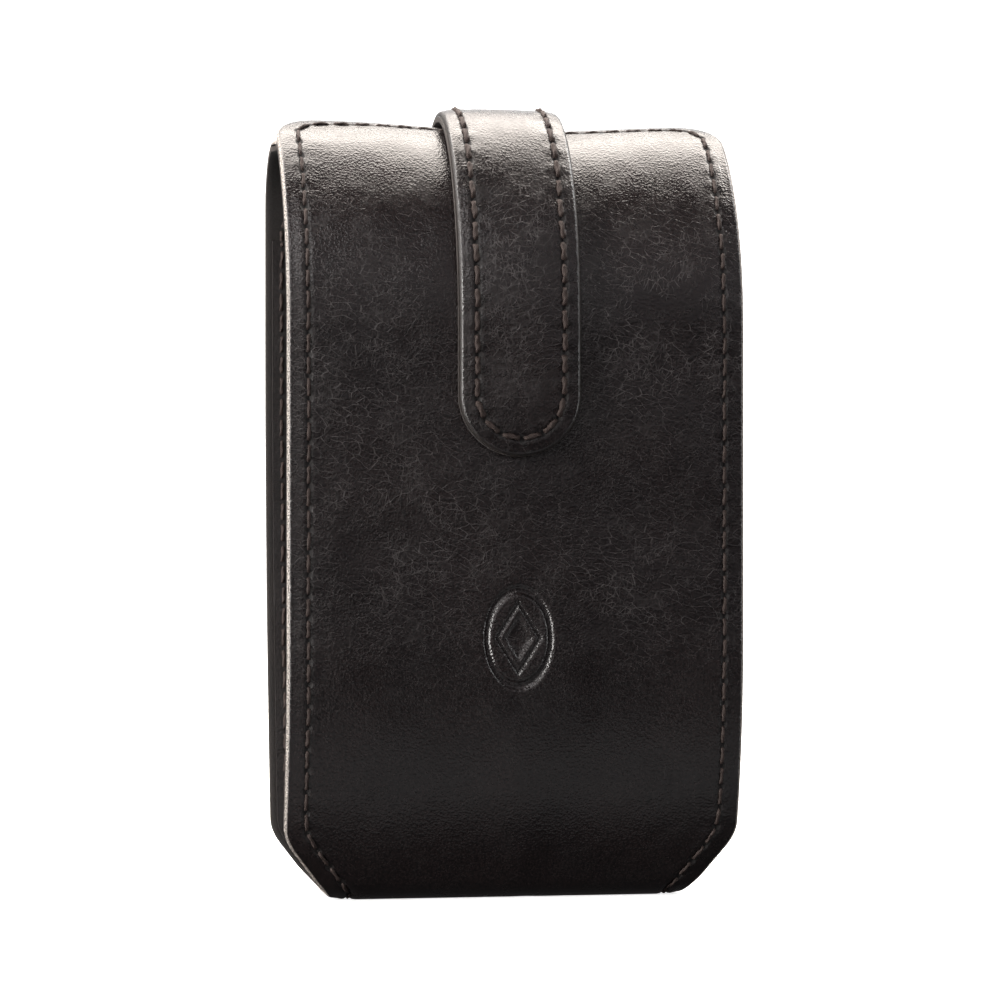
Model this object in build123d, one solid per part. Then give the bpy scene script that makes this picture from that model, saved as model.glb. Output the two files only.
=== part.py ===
"""Slim upright leather travel case with a wrap-over top and a strap closure.

One long strip of leather, lined and stiffened, runs from the front lip down the front panel,
round the bottom and up the back panel to the back lip. Two gussets close its sides. A strap sewn
to the back panel passes over both lips and is held on the front panel by a pair of magnets.

Frame: millimetres, +Z up, -Y is the front, the origin is the middle of the flat base.
Layers are cut by the depth of their faces below the outer surface of the wrap, or by their height
above the surface that the strap lies on.
"""

import os
from math import acos, asin, cos, degrees, radians, sqrt

from build123d import *

# wrap: overall shape
HALF_WIDTH = 44.5
FRONT_Y = -19.0
BACK_Y = 20.5
WAIST_HALF_WIDTH = 35.3  # half the width of the strip where it passes under the bottom
CHAMFER_HEIGHT = 12.0
CHAMFER_TOP_ROUND = 7.0
CHAMFER_WAIST_ROUND = 4.0

# wrap: side profile
BASE_CORNER_R = 6.0
FRONT_SWEEP_R = 130.0  # the front panel curves back towards the base
FRONT_SWEEP_TOP_Z = 50.0
BACK_SWEEP_R = 565.0  # the back panel leans forward all the way down
BACK_SWEEP_TOP_Z = 112.0
FRONT_TOP_Z = 110.5  # the front panel starts to curve over here
FRONT_TOP_RUN = 32.0
FRONT_TOP_RISE = 42.0
BACK_BEND_R = 12.5
BACK_BEND_Z = 135.5
BACK_LIP_SWEEP = 125.0  # degrees of bend from the back panel to the back lip's edge

# lips
FRONT_HINGE_ANGLE = 30.8  # degrees up the top ellipse where the front lip begins
FRONT_LIP_REAR_Y = 7.0
BACK_HINGE_Z = 133.0
LIP_CORNER_R = 9.0
HINGE_GAP = 0.2

# layers of the wrap, as depths below its outer surface
LEATHER = 1.4
BOARD_BOTTOM = 2.0
LAMINATE = 2.8
FIT = 0.03  # play between layers that are glued together

# stiffener boards
BOARD_INSET = 5.2
FRONT_BOARD_Z = (54.0, 108.0)
BACK_BOARD_Z = (24.0, 128.0)

# gussets
GUSSET_LEATHER = 1.1
GUSSET_WALL_INSET = 8.5  # how far the inside face of the wall is from the cut edge
GUSSET_EDGE_INSET = 0.3
GUSSET_TOP_Z = 129.0
HEM_HEIGHT = 5.0
HEM_LEATHER = 0.6

# seams
SEAM_INSET = 4.0
GROOVE_WIDTH = 1.0
GROOVE_DEPTH = 0.45
THREAD_WIDTH = 0.76
THREAD_TOP = 0.05
THREAD_BOTTOM = 0.42

# strap, with heights above the surface that it lies on
STRAP_HALF_WIDTH = 11.9
STRAP_CLEARANCE = 0.3
STRAP_LINING_TOP = 1.5
STRAP_TOP = 2.9
STRAP_CREST_Y = 7.0
STRAP_CREST_RISE = 41.25
STRAP_REAR_RISE = 16.25
STRAP_TIP_Z = 85.7
TONGUE_HINGE_ANGLE = 16.1
ANCHOR_BOTTOM_Z = 92.0
ANCHOR_CORNER_R = 4.0
STRAP_SEAM_INSET = 3.4

# magnets
MAGNET_D = 13.0
MAGNET_PLAY = 0.1
MAGNET_Z = 98.0
STRAP_MAGNET = (0.75, 1.45)

FAR = 80.0  # half the size of the cutting prisms
RUN_OUT = 10.0  # how far the strap's layers run past its ends before the outline trims them


def save(name, shape):
    """Write one sub-part."""
    export_step(shape, f"parts/{name}.step")


def strip(chain, first, second):
    """A strip across the whole width, between two runs of the same chain of curves."""
    one = chain(first)
    two = chain(second)
    ends = [Line(one[0] @ 0, two[0] @ 0), Line(one[-1] @ 1, two[-1] @ 1)]
    face = make_face(one + two + ends)
    return extrude(Plane.YZ * face, amount=FAR, both=True)


# ---------------------------------------------------------------- side profiles

base_front = sqrt((FRONT_SWEEP_R - BASE_CORNER_R) ** 2 - (FRONT_SWEEP_TOP_Z - BASE_CORNER_R) ** 2)
base_front -= FRONT_Y + FRONT_SWEEP_R
base_back = sqrt((BACK_SWEEP_R - BASE_CORNER_R) ** 2 - (BACK_SWEEP_TOP_Z - BASE_CORNER_R) ** 2)
base_back += BACK_Y - BACK_SWEEP_R
front_lean = degrees(asin((FRONT_SWEEP_TOP_Z - BASE_CORNER_R) / (FRONT_SWEEP_R - BASE_CORNER_R)))
back_lean = degrees(asin((BACK_SWEEP_TOP_Z - BASE_CORNER_R) / (BACK_SWEEP_R - BASE_CORNER_R)))

front_top_centre = (FRONT_Y + FRONT_TOP_RUN, FRONT_TOP_Z)
front_sweep_centre = (FRONT_Y + FRONT_SWEEP_R, FRONT_SWEEP_TOP_Z)
back_sweep_centre = (BACK_Y - BACK_SWEEP_R, BACK_SWEEP_TOP_Z)
back_bend_centre = (BACK_Y - BACK_BEND_R, BACK_BEND_Z)
strap_front_run = STRAP_CREST_Y - FRONT_Y
strap_rear_run = BACK_Y - STRAP_CREST_Y


def front_top_arc(depth, low, high):
    """Part of the ellipse that the front bends over, from high to low, in degrees."""
    return EllipticalCenterArc(
        front_top_centre,
        FRONT_TOP_RUN - depth,
        FRONT_TOP_RISE - depth,
        180 - high,
        arc_size=high - low,
    )


def wrap_chain(depth):
    """From the front lip's hinge down the front, under the bottom and up to the back lip's."""
    top = front_top_arc(depth, 0, FRONT_HINGE_ANGLE)
    front = Line(top @ 1, (FRONT_Y + depth, FRONT_SWEEP_TOP_Z))
    front_sweep = CenterArc(front_sweep_centre, FRONT_SWEEP_R - depth, 180, front_lean)
    front_corner = CenterArc(
        (-base_front, BASE_CORNER_R), BASE_CORNER_R - depth, 180 + front_lean, 90 - front_lean
    )
    base = Line(front_corner @ 1, (base_back, depth))
    back_corner = CenterArc(
        (base_back, BASE_CORNER_R), BASE_CORNER_R - depth, 270, 90 - back_lean
    )
    back_sweep = CenterArc(back_sweep_centre, BACK_SWEEP_R - depth, -back_lean, back_lean)
    back = Line(back_sweep @ 1, (BACK_Y - depth, BACK_HINGE_Z))
    return [top, front, front_sweep, front_corner, base, back_corner, back_sweep, back]


def front_lip_chain(depth):
    """From the front lip's rear edge to just above its hinge."""
    gap_angle = degrees(HINGE_GAP / FRONT_TOP_RISE)
    return [front_top_arc(depth, FRONT_HINGE_ANGLE + gap_angle, lip_rear_angle)]


def back_lip_chain(depth):
    """From just above the back lip's hinge over the bend to its front edge."""
    rise = Line((BACK_Y - depth, BACK_HINGE_Z + HINGE_GAP), (BACK_Y - depth, BACK_BEND_Z))
    bend = CenterArc(back_bend_centre, BACK_BEND_R - depth, 0, BACK_LIP_SWEEP)
    return [rise, bend]


def strap_front_arc(height, low, high):
    """Part of the ellipse that the strap follows over the front, from high to low."""
    return EllipticalCenterArc(
        (STRAP_CREST_Y, FRONT_TOP_Z),
        strap_front_run + height,
        STRAP_CREST_RISE + height,
        180 - high,
        arc_size=high - low,
    )


def bridge_chain(height):
    """The strap from its rear hinge over the crest to the tongue's hinge."""
    rise = Line((BACK_Y + height, BACK_HINGE_Z + HINGE_GAP), (BACK_Y + height, BACK_BEND_Z))
    rear = EllipticalCenterArc(
        (STRAP_CREST_Y, BACK_BEND_Z),
        strap_rear_run + height,
        STRAP_REAR_RISE + height,
        0,
        arc_size=90,
    )
    return [rise, rear, strap_front_arc(height, TONGUE_HINGE_ANGLE, 90)]


def tongue_chain(height):
    """The strap from the tongue's hinge down to below its tip."""
    gap_angle = degrees(HINGE_GAP / STRAP_CREST_RISE)
    top = strap_front_arc(height, 0, TONGUE_HINGE_ANGLE - gap_angle)
    return [top, Line(top @ 1, (FRONT_Y - height, STRAP_TIP_Z - RUN_OUT))]


def anchor_chain(height):
    """The strap where it is sewn to the back panel, from below its end to the rear hinge."""
    radius = BACK_SWEEP_R + height
    sweep = degrees(asin((BACK_SWEEP_TOP_Z - ANCHOR_BOTTOM_Z + RUN_OUT) / radius))
    curve = CenterArc(back_sweep_centre, radius, -sweep, sweep)
    return [curve, Line(curve @ 1, (BACK_Y + height, BACK_HINGE_Z))]


lip_rear_angle = degrees(acos((front_top_centre[0] - FRONT_LIP_REAR_Y) / FRONT_TOP_RUN))

# ---------------------------------------------------------------- outlines


def wrap_outline():
    """The strip seen from the front: two straight sides that narrow to the waist at the base."""
    right = [
        (WAIST_HALF_WIDTH, -FAR),
        (WAIST_HALF_WIDTH, 0),
        (HALF_WIDTH, CHAMFER_HEIGHT),
        (HALF_WIDTH, 2 * FAR),
    ]
    left = [(-x, z) for x, z in reversed(right)]
    shape = make_face(Polyline(*right, *left, close=True))
    waist = [v for v in shape.vertices() if abs(v.Y) < 1]
    shape = fillet(waist, CHAMFER_WAIST_ROUND)
    chamfer = [v for v in shape.vertices() if abs(v.Y - CHAMFER_HEIGHT) < 1]
    return fillet(chamfer, CHAMFER_TOP_ROUND)


def lip_outline(edge_y, away):
    """A lip seen from above: its edge at edge_y, with round corners, running towards away."""
    centre = Location((0, edge_y + away * FAR))
    shape = centre * Rectangle(2 * HALF_WIDTH, 2 * FAR)
    corners = [v for v in shape.vertices() if abs(v.Y - edge_y) < 1]
    return fillet(corners, LIP_CORNER_R)


def strap_outline(end_z, corner_r):
    """The strap seen from the front, up from its end at end_z."""
    shape = Location((0, end_z + FAR)) * Rectangle(2 * STRAP_HALF_WIDTH, 2 * FAR)
    corners = [v for v in shape.vertices() if abs(v.Y - end_z) < 1]
    return fillet(corners, corner_r)


def prism(outline, plane, inset=0.0):
    """Everything inside an outline that is moved inwards by inset."""
    if inset:
        outline = offset(outline, -inset, kind=Kind.INTERSECTION)
    return extrude(plane * outline, amount=2 * FAR, both=True)


def seam_band(outline, plane, inset, width):
    """The band of a given width along the seam line inside an outline."""
    outside = prism(outline, plane, inset - width / 2)
    return outside - prism(outline, plane, inset + width / 2)


def half_space(side):
    """Everything on one side of the middle plane: -1 is left, 1 is right."""
    return Location((side * FAR, 0, FAR)) * Box(2 * FAR, 2 * FAR, 6 * FAR)


def slab(low, high):
    """Everything between two heights."""
    return Location((0, 0, (low + high) / 2)) * Box(4 * FAR, 4 * FAR, high - low)


front_view = Plane.XZ
top_view = Plane.XY
case_outline = wrap_outline()
front_lip_outline = lip_outline(FRONT_LIP_REAR_Y, -1)
back_lip_edge_y = back_bend_centre[0] + BACK_BEND_R * cos(radians(BACK_LIP_SWEEP))
back_lip_outline = lip_outline(back_lip_edge_y, 1)
tongue_outline = strap_outline(STRAP_TIP_Z, STRAP_HALF_WIDTH - 0.01)
anchor_outline = strap_outline(ANCHOR_BOTTOM_Z, ANCHOR_CORNER_R)


def sewn_layers(name, chain, outline, plane):
    """A lip: its grooved leather, its lining and its thread."""
    shape = prism(outline, plane)
    groove = seam_band(outline, plane, SEAM_INSET, GROOVE_WIDTH)
    thread = seam_band(outline, plane, SEAM_INSET, THREAD_WIDTH)
    leather = strip(chain, 0, LEATHER) & shape
    save(f"{name}_leather", leather - (strip(chain, -1, GROOVE_DEPTH) & groove))
    save(f"{name}_lining", strip(chain, LEATHER + FIT, LAMINATE) & shape)
    save(f"{name}_thread", strip(chain, THREAD_TOP, THREAD_BOTTOM) & thread)


def magnet(y_low, y_high, play=0.0):
    """A disc on the magnets' axis between two depths, or the pocket for it."""
    middle = Location((0, (y_low + y_high) / 2, MAGNET_Z), (90, 0, 0))
    return middle * Cylinder(MAGNET_D / 2 + play, y_high - y_low + 2 * play)


# ---------------------------------------------------------------- sub-parts


def make_wrap():
    """Outer leather, lining, boards, front magnet and the two border seams."""
    shape = prism(case_outline, front_view)
    groove = seam_band(case_outline, front_view, SEAM_INSET, GROOVE_WIDTH)
    thread = seam_band(case_outline, front_view, SEAM_INSET, THREAD_WIDTH)
    leather = strip(wrap_chain, 0, LEATHER) & shape
    save("outer_wrap", leather - (strip(wrap_chain, -1, GROOVE_DEPTH) & groove))

    board_shape = prism(case_outline, front_view, BOARD_INSET)
    board_layer = strip(wrap_chain, LEATHER + FIT, BOARD_BOTTOM) & board_shape
    front_half = Location((0, -FAR, 0)) * Box(4 * FAR, 2 * FAR, 8 * FAR)
    pocket = magnet(FRONT_Y + LEATHER, FRONT_Y + BOARD_BOTTOM, MAGNET_PLAY)
    front_board = (board_layer & slab(*FRONT_BOARD_Z) & front_half) - pocket
    back_board = (board_layer & slab(*BACK_BOARD_Z)) - front_half
    save("front_board", front_board)
    save("back_board", back_board)
    save("front_magnet", magnet(FRONT_Y + LEATHER + FIT, FRONT_Y + BOARD_BOTTOM))

    lining = strip(wrap_chain, LEATHER + FIT, LAMINATE) & shape
    room = strip(wrap_chain, LEATHER, BOARD_BOTTOM + FIT) & board_shape
    room_front = room & slab(FRONT_BOARD_Z[0] - FIT, FRONT_BOARD_Z[1] + FIT) & front_half
    room_back = (room & slab(BACK_BOARD_Z[0] - FIT, BACK_BOARD_Z[1] + FIT)) - front_half
    save("wrap_lining", lining - room_front - room_back)

    seams = strip(wrap_chain, THREAD_TOP, THREAD_BOTTOM) & thread
    save("left_seam_thread", seams & half_space(-1))
    save("right_seam_thread", seams & half_space(1))


def inside_wrap(depth):
    """The room between the panels, below a given depth under their outer surface."""
    chain = wrap_chain(depth)
    mouth = Line(chain[-1] @ 1, chain[0] @ 0)
    return extrude(Plane.YZ * make_face(chain + [mouth]), amount=FAR, both=True)


def make_gussets():
    """The two side gussets, sewn inside the borders, and the hem on each one's top edge."""
    top = LAMINATE + FIT
    bottom = top + GUSSET_LEATHER
    below_top = slab(-FAR, GUSSET_TOP_Z)
    outside = prism(case_outline, front_view, GUSSET_EDGE_INSET)
    wall_outside = prism(case_outline, front_view, GUSSET_WALL_INSET - GUSSET_LEATHER)
    wall_inside = prism(case_outline, front_view, GUSSET_WALL_INSET)

    flange = strip(wrap_chain, top, bottom) & (outside - wall_inside)
    wall = inside_wrap(top) & (wall_outside - wall_inside)
    pair = (flange + wall) & below_top

    hem_shape = prism(case_outline, front_view, GUSSET_WALL_INSET - GUSSET_LEATHER - HEM_LEATHER)
    hem_shape -= prism(case_outline, front_view, GUSSET_WALL_INSET + HEM_LEATHER)
    hem_room = inside_wrap(LAMINATE + GUSSET_LEATHER + HEM_LEATHER + FIT)
    hem_block = hem_shape & hem_room & slab(GUSSET_TOP_Z - HEM_HEIGHT, GUSSET_TOP_Z + HEM_LEATHER)
    wall_room = prism(case_outline, front_view, GUSSET_WALL_INSET - GUSSET_LEATHER - FIT)
    wall_room -= prism(case_outline, front_view, GUSSET_WALL_INSET + FIT)
    hems = hem_block - (wall_room & slab(-FAR, GUSSET_TOP_Z + FIT))

    for side, name in ((-1, "left"), (1, "right")):
        save(f"{name}_gusset", pair & half_space(side))
        save(f"{name}_gusset_hem", hems & half_space(side))


def make_strap():
    """The anchor on the back panel, the bridge over the lips and the tongue on the front."""
    anchor = prism(anchor_outline, front_view)
    bridge = Box(2 * STRAP_HALF_WIDTH, 4 * FAR, 6 * FAR)
    tongue = prism(tongue_outline, front_view)
    sewn = {
        "anchor": (anchor_chain, anchor, anchor_outline, FIT),
        "bridge": (bridge_chain, bridge, None, STRAP_CLEARANCE),
        "tongue": (tongue_chain, tongue, tongue_outline, STRAP_CLEARANCE),
    }
    room = magnet(FRONT_Y - STRAP_MAGNET[1], FRONT_Y - STRAP_MAGNET[0], MAGNET_PLAY / 2)
    for name, (chain, shape, outline, lowest) in sewn.items():
        if outline is None:
            rows = [
                Location((side * (STRAP_HALF_WIDTH - STRAP_SEAM_INSET), 0)) for side in (-1, 1)
            ]
            groove = Compound([row * Box(GROOVE_WIDTH, 4 * FAR, 6 * FAR) for row in rows])
            thread = Compound([row * Box(THREAD_WIDTH, 4 * FAR, 6 * FAR) for row in rows])
        else:
            groove = seam_band(outline, front_view, STRAP_SEAM_INSET, GROOVE_WIDTH)
            thread = seam_band(outline, front_view, STRAP_SEAM_INSET, THREAD_WIDTH)
        cut = strip(chain, STRAP_TOP - GROOVE_DEPTH, STRAP_TOP + 1) & groove
        leather = (strip(chain, STRAP_LINING_TOP, STRAP_TOP) & shape) - cut
        lining = strip(chain, lowest, STRAP_LINING_TOP - FIT) & shape
        if name == "tongue":
            lining -= room
        save(f"strap_{name}_leather", leather)
        save("closure_pad" if name == "tongue" else f"strap_{name}_lining", lining)
        thread_layer = strip(chain, STRAP_TOP - THREAD_BOTTOM, STRAP_TOP - THREAD_TOP)
        save(f"strap_{name}_thread", thread_layer & thread)
    save("strap_magnet", magnet(FRONT_Y - STRAP_MAGNET[1], FRONT_Y - STRAP_MAGNET[0]))


def print_axes():
    """The hinge lines, as Y and Z, for the record."""
    lip = front_top_arc(0, 0, FRONT_HINGE_ANGLE) @ 0
    tongue = strap_front_arc(STRAP_TOP, 0, TONGUE_HINGE_ANGLE) @ 0
    print(f"front_lip_fold {lip.X:.3f} {lip.Y:.3f}")
    print(f"back_lip_fold {BACK_Y:.3f} {BACK_HINGE_Z:.3f}")
    print(f"strap_swing {BACK_Y + STRAP_TOP:.3f} {BACK_HINGE_Z:.3f}")
    print(f"tongue_peel {tongue.X:.3f} {tongue.Y:.3f}")
    print(f"flat base from y {-base_front:.2f} to {base_back:.2f}")
    print(f"front lip edge at z {front_top_arc(0, 0, lip_rear_angle) @ 0}")


os.makedirs("parts", exist_ok=True)
make_wrap()
make_gussets()
sewn_layers("front_lip", front_lip_chain, front_lip_outline, top_view)
sewn_layers("back_lip", back_lip_chain, back_lip_outline, top_view)
make_strap()
print_axes()
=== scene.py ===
import math

import bpy
import numpy as np
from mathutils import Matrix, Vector


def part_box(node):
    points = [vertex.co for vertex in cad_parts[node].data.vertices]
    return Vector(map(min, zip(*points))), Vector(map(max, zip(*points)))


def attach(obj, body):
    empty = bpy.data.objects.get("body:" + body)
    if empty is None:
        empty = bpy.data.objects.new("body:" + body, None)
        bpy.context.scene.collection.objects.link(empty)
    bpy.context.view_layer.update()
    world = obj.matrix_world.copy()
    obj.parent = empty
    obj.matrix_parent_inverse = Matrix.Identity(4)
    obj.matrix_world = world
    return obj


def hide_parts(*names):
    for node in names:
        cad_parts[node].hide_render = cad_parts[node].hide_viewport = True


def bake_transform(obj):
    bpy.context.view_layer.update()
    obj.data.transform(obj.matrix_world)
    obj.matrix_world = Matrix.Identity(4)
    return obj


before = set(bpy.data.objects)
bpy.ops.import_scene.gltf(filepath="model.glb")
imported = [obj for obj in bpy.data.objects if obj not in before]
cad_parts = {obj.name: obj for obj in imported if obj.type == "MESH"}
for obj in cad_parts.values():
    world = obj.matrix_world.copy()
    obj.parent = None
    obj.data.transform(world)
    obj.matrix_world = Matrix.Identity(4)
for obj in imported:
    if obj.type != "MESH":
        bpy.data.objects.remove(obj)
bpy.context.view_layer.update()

MM = 0.001

# ---- sizes, in millimetres
# Those that the frame holds are read from it. The others are the radii of the CAD's side profile.


def corner_of(node, which):
    """The lowest corner of a CAD node's box for 0, the highest for 1, in millimetres."""
    return np.array(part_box(node)[which]) / MM


HALF_WIDTH, BACK_Y = corner_of("outer_wrap", 1)[:2]
FRONT_Y = corner_of("outer_wrap", 0)[1]
LIP_REAR_Y = corner_of("front_lip_leather", 1)[1]
GUSSET_TOP = corner_of("left_gusset", 1)[2]
STRAP_HALF = corner_of("strap_tongue_leather", 1)[0]
STRAP_TIP = corner_of("strap_tongue_leather", 0)[2]
STRAP_END = corner_of("strap_anchor_leather", 0)[2]

WAIST_HALF = 35.3  # where the strip passes under the base
CHAMFER = 12.0
BASE_CORNER_R = 6.0
FRONT_SWEEP_R = 130.0
FRONT_SWEEP_Z = 50.0
BACK_SWEEP_R = 565.0
BACK_SWEEP_Z = 112.0
FRONT_TOP_Z = 110.5
FRONT_TOP_RUN = 32.0
FRONT_TOP_RISE = 42.0
FRONT_CROWN = 0.35
MOTIF_DEPTH = 0.58
BACK_BEND_R = 12.5
BACK_BEND_Z = 135.5
BACK_LIP_SWEEP = 125.0
LIP_CORNER_R = 9.0
STRAP_CREST_Y = 7.0
STRAP_CREST_RISE = 41.25
STRAP_REAR_RISE = 16.25

LEATHER = 1.4
LAMINATE = 2.8  # leather and lining
GUSSET_LEATHER = 1.1
STRAP_BOTTOM = 0.3
STRAP_SPLIT = 1.5
STRAP_TOP = 2.9

SEAM_INSET = 4.0
STRAP_SEAM_INSET = 3.4
STRAP_STEP = 0.24  # how much smaller the strap's leather is than its lining
FLANGE_INSET = 1.2
FOLD_INSET = 7.0
GUSSET_BOW = 3.4
GUSSET_BEND_R = 2.2
INNER_SEAM_INSET = 3.0
STITCH_PITCH = 4.2
HOLE_SCATTER = 0.11
HOLE_R = 0.46
HOLE_DEPTH = 0.3
CHANNEL_HALF = 0.55
CHANNEL_DEPTH = 0.2
ROUTE_STEP = 0.1
THREAD_R = 0.34
STRAP_THREAD_R = 0.48
BORDER_FALL = 0.46  # how far the wrap's surface falls towards its cut edges

# ---- side profiles


def along_line(points):
    """How far each point of a line is along it."""
    return np.concatenate([[0], np.cumsum(np.linalg.norm(np.diff(points, axis=0), axis=1))])


class Path:
    """A curve in the YZ plane made of arcs and lines, with outward normals, read by its arc length."""

    STEP = 0.05

    def __init__(self):
        self.points = []
        self.normals = []

    def arc(self, centre, run, rise, start, end):
        """An elliptical arc, its angles in degrees."""
        count = max(8, int(abs(math.radians(end - start)) * max(run, rise) / self.STEP))
        t = np.radians(np.linspace(start, end, count))
        self.points.append(np.stack([centre[0] + run * np.cos(t), centre[1] + rise * np.sin(t)], 1))
        normal = np.stack([np.cos(t) / run, np.sin(t) / rise], 1)
        self.normals.append(normal / np.linalg.norm(normal, axis=1)[:, None])
        return self

    def line(self, end, normal):
        """A straight run to end, from where the curve is or from the middle of the base."""
        start, end = self.points[-1][-1] if self.points else np.zeros(2), np.array(end, float)
        t = np.linspace(0, 1, max(4, int(np.linalg.norm(end - start) / self.STEP)))[:, None]
        self.points.append(start + t * (end - start))
        self.normals.append(np.tile(np.array(normal, float), (len(t), 1)))
        return self

    def close(self):
        """Works out the arc length."""
        self.points = np.concatenate(self.points)
        self.normals = np.concatenate(self.normals)
        self.length_at = along_line(self.points)
        self.length = self.length_at[-1]
        return self

    def at(self, s):
        """Y, Z and the outward normal at arc length s."""
        columns = (*self.points.T, *self.normals.T)
        y, z, ny, nz = (np.interp(s, self.length_at, column) for column in columns)
        size = np.hypot(ny, nz)
        return y, z, ny / size, nz / size

    def s_at_height(self, z):
        """The first arc length where the curve reaches height z."""
        return self.length_at[np.argmax(self.points[:, 1] >= z)]


def lean(radius, sweep_z):
    """Degrees that a sweep arc turns before it meets the base corner."""
    return math.degrees(math.asin((sweep_z - BASE_CORNER_R) / (radius - BASE_CORNER_R)))


def base_half(radius, sweep_z, face):
    """How far from the middle of the base its corner arc starts."""
    return math.sqrt((radius - BASE_CORNER_R) ** 2 - (sweep_z - BASE_CORNER_R) ** 2) - radius + face


def front_path():
    """From the middle of the base up the front and over to the front lip's rear edge."""
    half = base_half(FRONT_SWEEP_R, FRONT_SWEEP_Z, -FRONT_Y)
    tilt = lean(FRONT_SWEEP_R, FRONT_SWEEP_Z)
    centre_y = FRONT_Y + FRONT_TOP_RUN
    rear = math.degrees(math.acos((LIP_REAR_Y - centre_y) / FRONT_TOP_RUN))
    path = Path().line((-half, 0), (0, -1))
    path.arc((-half, BASE_CORNER_R), BASE_CORNER_R, BASE_CORNER_R, 270, 180 + tilt)
    path.arc((FRONT_Y + FRONT_SWEEP_R, FRONT_SWEEP_Z), FRONT_SWEEP_R, FRONT_SWEEP_R, 180 + tilt, 180)
    path.line((FRONT_Y, FRONT_TOP_Z), (-1, 0))
    path.arc((centre_y, FRONT_TOP_Z), FRONT_TOP_RUN, FRONT_TOP_RISE, 180, rear)
    return path.close()


def back_path():
    """From the middle of the base up the back and over to the back lip's front edge."""
    half = base_half(BACK_SWEEP_R, BACK_SWEEP_Z, BACK_Y)
    tilt = lean(BACK_SWEEP_R, BACK_SWEEP_Z)
    path = Path().line((half, 0), (0, -1))
    path.arc((half, BASE_CORNER_R), BASE_CORNER_R, BASE_CORNER_R, -90, -tilt)
    path.arc((BACK_Y - BACK_SWEEP_R, BACK_SWEEP_Z), BACK_SWEEP_R, BACK_SWEEP_R, -tilt, 0)
    path.line((BACK_Y, BACK_BEND_Z), (1, 0))
    path.arc((BACK_Y - BACK_BEND_R, BACK_BEND_Z), BACK_BEND_R, BACK_BEND_R, 0, BACK_LIP_SWEEP)
    return path.close()


def strap_path():
    """The surface that the strap lies on, from its sewn end up the back, over and down to its tip."""
    sweep = math.degrees(math.asin((BACK_SWEEP_Z - STRAP_END) / BACK_SWEEP_R))
    path = Path().arc((BACK_Y - BACK_SWEEP_R, BACK_SWEEP_Z), BACK_SWEEP_R, BACK_SWEEP_R, -sweep, 0)
    path.line((BACK_Y, BACK_BEND_Z), (1, 0))
    path.arc((STRAP_CREST_Y, BACK_BEND_Z), BACK_Y - STRAP_CREST_Y, STRAP_REAR_RISE, 0, 90)
    path.arc((STRAP_CREST_Y, FRONT_TOP_Z), STRAP_CREST_Y - FRONT_Y, STRAP_CREST_RISE, 90, 180)
    path.line((FRONT_Y, STRAP_TIP), (-1, 0))
    return path.close()


FRONT = front_path()
BACK = back_path()
STRAP = strap_path()

# ---- smooth helpers


def smooth(value, low, high):
    """0 below low, 1 above high, and an even S between them."""
    t = np.clip((value - low) / (high - low), 0, 1)
    return t * t * (3 - 2 * t)


def bell(value, centre, width):
    """A soft bump of height 1."""
    return np.exp(-(((value - centre) / width) ** 2))


def ripple(a, b, seed, size, waves=9):
    """Smooth random hills from about -1 to 1, the given size across."""
    rng = np.random.default_rng(seed)
    total = np.zeros(np.broadcast(a, b).shape)
    for _ in range(waves):
        angle = rng.uniform(0, 2 * math.pi)
        length = size * rng.uniform(0.6, 1.7)
        phase = rng.uniform(0, 2 * math.pi)
        total += np.sin(2 * math.pi * (a * math.cos(angle) + b * math.sin(angle)) / length + phase)
    return total / math.sqrt(waves)


def soft_min(a, b, width):
    """The smaller of two, rounded over where they cross."""
    h = np.clip(0.5 + 0.5 * (b - a) / width, 0, 1)
    return b + (a - b) * h - width * h * (1 - h)


# ---- flat pattern of the sheets


def wrap_half_width(inset, z):
    """Half the width of the strip at height z, moved in from its cut edge by inset."""
    run = HALF_WIDTH - WAIST_HALF
    slope = math.hypot(run, CHAMFER)
    chamfer = (WAIST_HALF * CHAMFER / slope - inset + z * run / slope) * slope / CHAMFER
    side = soft_min(chamfer, HALF_WIDTH - inset, 2.0)
    return -soft_min(-side, -(WAIST_HALF - inset), 0.4)


def strap_half_width(inset, z):
    """Half the width of the strap, moved in from its cut edge by inset."""
    return np.full(np.broadcast(inset, z).shape, STRAP_HALF) - inset


def strap_leather_half_width(inset, z):
    """The same for the strap's outer leather, which is cut a little smaller than its lining."""
    return strap_half_width(inset, z) - STRAP_STEP


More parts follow.
